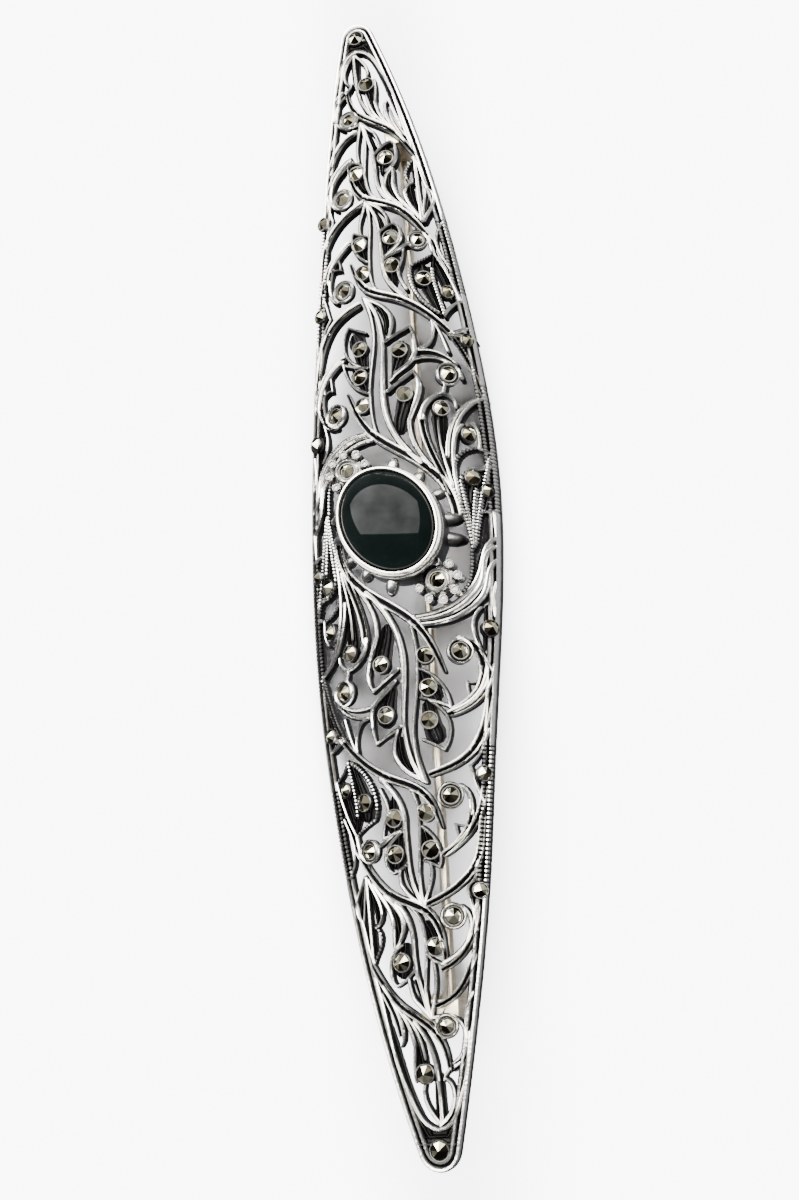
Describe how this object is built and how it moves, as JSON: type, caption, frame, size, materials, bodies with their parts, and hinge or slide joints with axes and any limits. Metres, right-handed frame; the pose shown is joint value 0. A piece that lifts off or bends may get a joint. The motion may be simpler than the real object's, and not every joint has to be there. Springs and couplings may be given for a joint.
{
  "type": "silver brooch",
  "caption": "Long pointed oval silver brooch with pierced leafy openwork, marcasites in collars, a raised oval black stone in a bezel, and a hinged pin with a catch behind.",
  "frame": {"origin": "on the resting plane, under the middle of the black stone", "axes": "+Z out of the brooch's face, +Y along its length to the tip beside the pin's catch, +X across it to the right"},
  "size_m": [0.018, 0.104, 0.0089],
  "materials": {
    "silver": "cast silver, darkened in the hollows and polished on the ridges",
    "onyx": "polished black onyx",
    "marcasite": "faceted pyrite with a metallic lustre",
    "pin_metal": "drawn nickel silver wire, satin"
  },
  "bodies": {
    "brooch": {"openwork_frame": "silver", "cabochon": "onyx", "lower_marcasites": "marcasite", "upper_marcasites": "marcasite", "hinge_rivet": "pin_metal"},
    "pin": {"pin_stem": "pin_metal"}
  },
  "joints": [
    {"name": "pin_hinge", "type": "hinge", "parent": "brooch", "child": "pin", "pos_m": [0.00074, -0.0403, 0.00115], "axis": [-0.9997, 0.0255, 0], "range_deg": [0, 75]}
  ]
}
